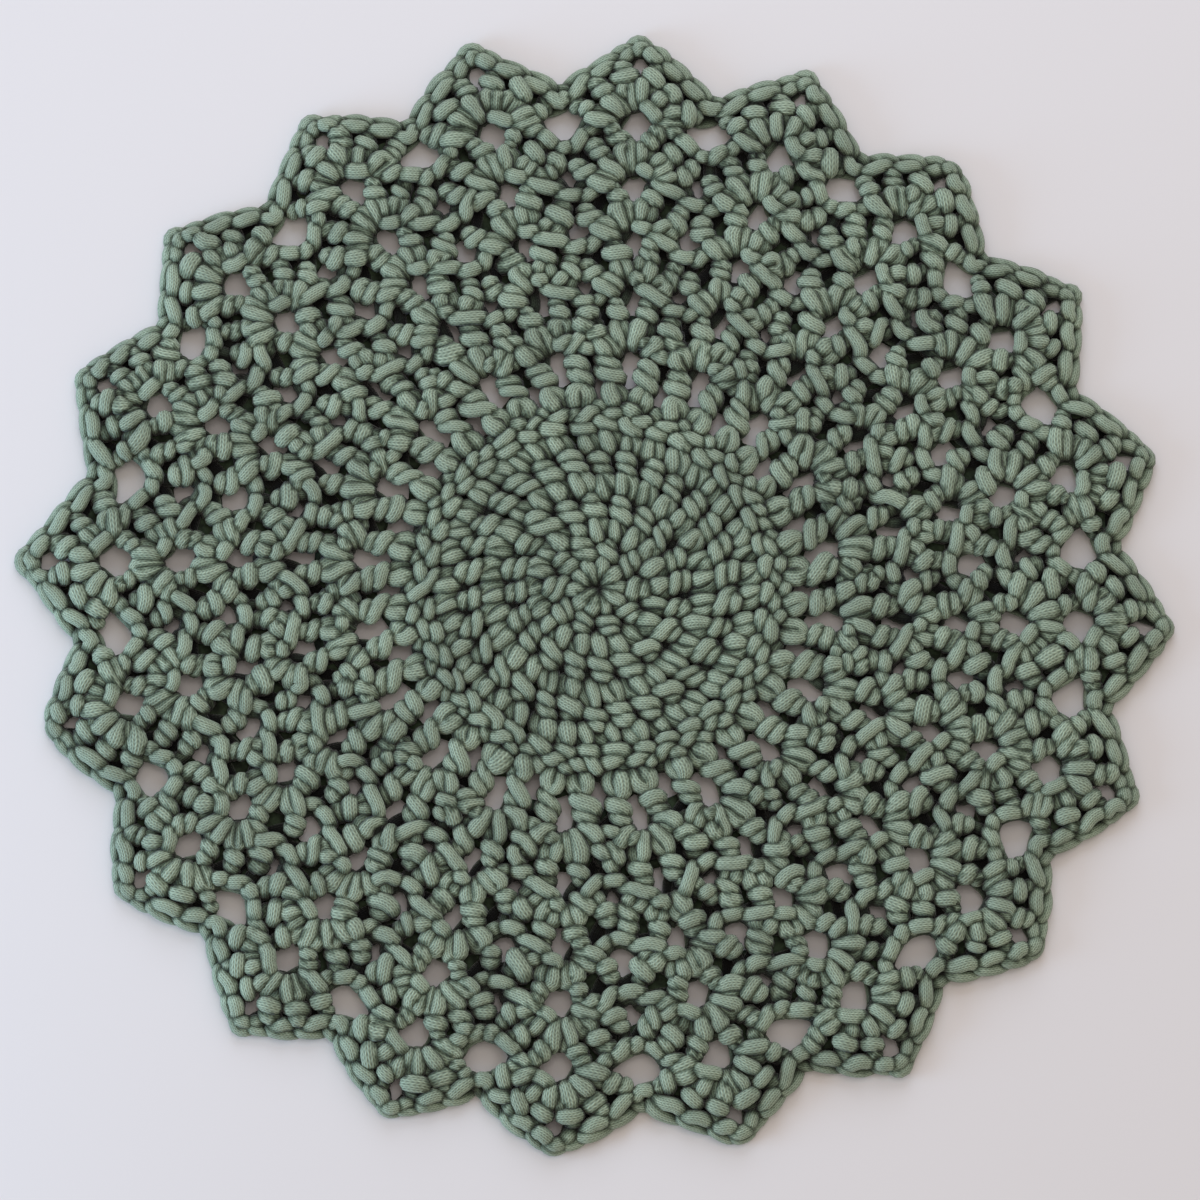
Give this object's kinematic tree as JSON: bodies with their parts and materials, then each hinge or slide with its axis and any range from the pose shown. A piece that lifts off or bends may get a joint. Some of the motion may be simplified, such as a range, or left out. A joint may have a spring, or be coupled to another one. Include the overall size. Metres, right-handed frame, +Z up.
{
  "type": "crochet placemat",
  "caption": "Round crochet placemat of thick cotton yarn: a solid middle, rounds of open fans and a pointed edge, lying flat.",
  "frame": {"origin": "centre of the mat's bounding box, on the surface that it lies on", "axes": "+Z up out of the right side of the work, +Y away from the viewer and +X to the right in the picture"},
  "size_m": [0.3832, 0.3778, 0.009],
  "materials": {
    "cotton_yarn": "matt"
  },
  "bodies": {
    "root": {"crochet_mat": "cotton_yarn"}
  },
  "joints": []
}
